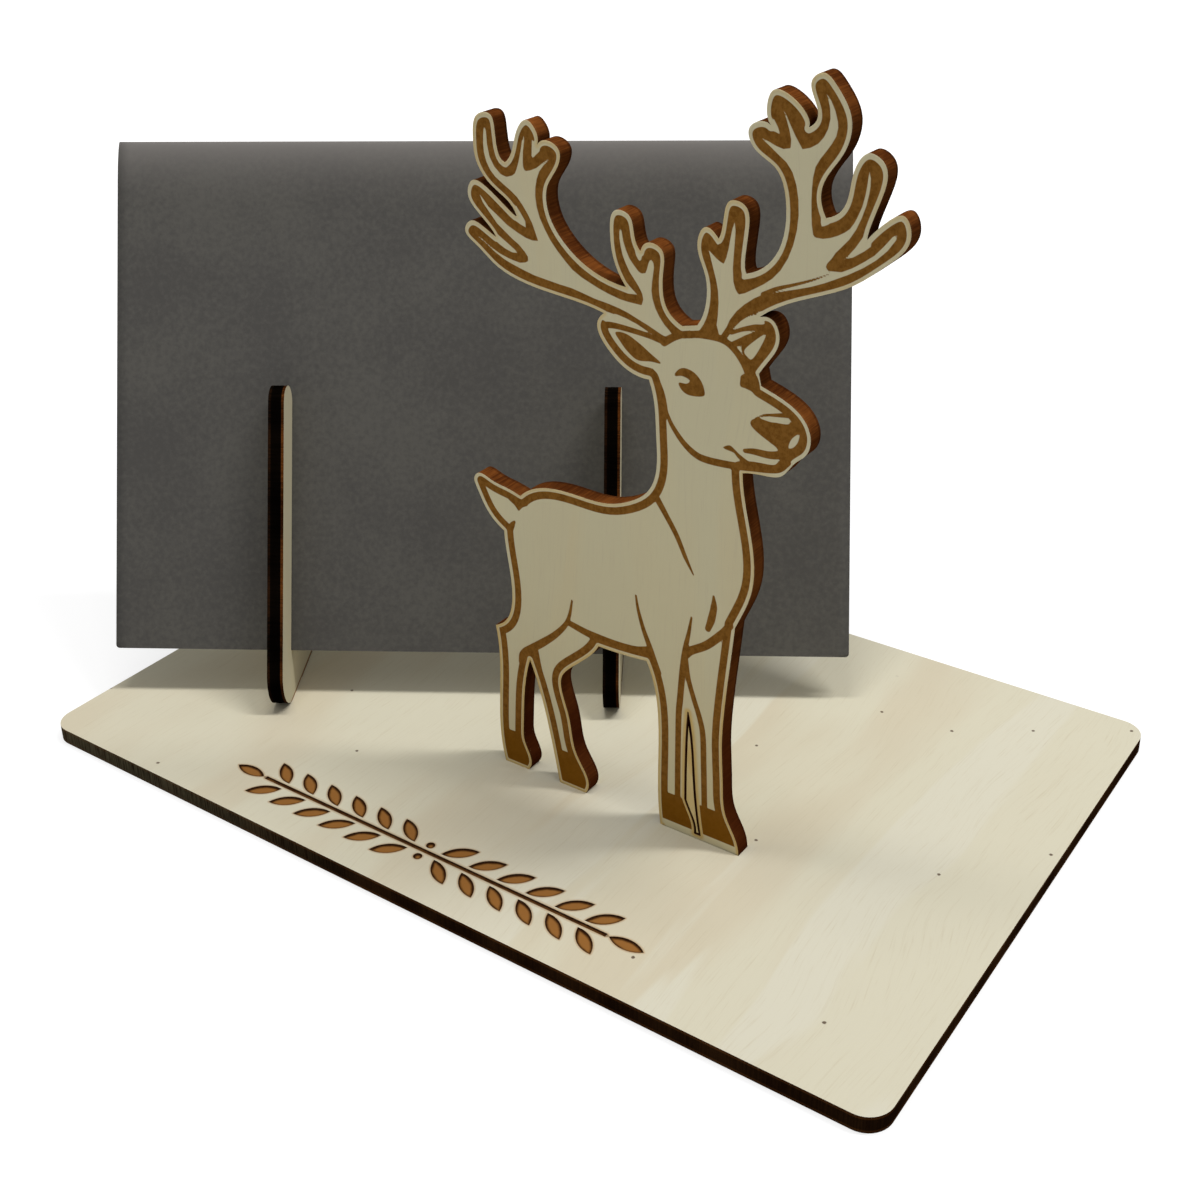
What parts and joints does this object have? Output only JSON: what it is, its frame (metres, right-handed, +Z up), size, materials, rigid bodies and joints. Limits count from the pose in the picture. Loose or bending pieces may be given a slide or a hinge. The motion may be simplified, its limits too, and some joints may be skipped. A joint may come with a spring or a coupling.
{
  "type": "gift card holder",
  "caption": "Laser-cut plywood desk stand: forked supports on a rounded base hold a leaning folded grey card behind a flat engraved standing stag.",
  "frame": {"origin": "middle of the base's underside, on the surface it stands on", "axes": "+X along the base's long front edge to the right, +Y to the back, +Z up"},
  "size_m": [0.224, 0.1471, 0.1539],
  "materials": {
    "veneer": "bare light poplar veneer, matte",
    "engraved_veneer": "bare light poplar veneer with brown laser engraving",
    "core": "plywood core with laser-burnt dark edges",
    "card": "uncoated warm grey paper card, matte",
    "gift_card": "blank plastic card, satin"
  },
  "bodies": {
    "holder": {"base_bottom_veneer": "veneer", "base_core": "core", "base_top_veneer": "engraved_veneer", "left_support_left_veneer": "veneer", "left_support_core": "core", "left_support_right_veneer": "veneer", "right_support_left_veneer": "veneer", "right_support_core": "core", "right_support_right_veneer": "veneer"},
    "stag": {"stag_front_veneer": "engraved_veneer", "stag_core": "core", "stag_back_veneer": "veneer", "leg_gap_sliver": "veneer"},
    "folded_card": {"card_front_leaf": "card", "card_fold": "card", "card_back_leaf": "card", "gift_card": "gift_card"}
  },
  "joints": [
    {"name": "card_lift", "type": "slide", "parent": "holder", "child": "folded_card", "axis": [-0.224, 0.3584, 0.9063], "range_m": [0, 0.07]},
    {"name": "stag_lift", "type": "slide", "parent": "holder", "child": "stag", "axis": [0, 0, 1], "range_m": [0, 0.02]}
  ]
}
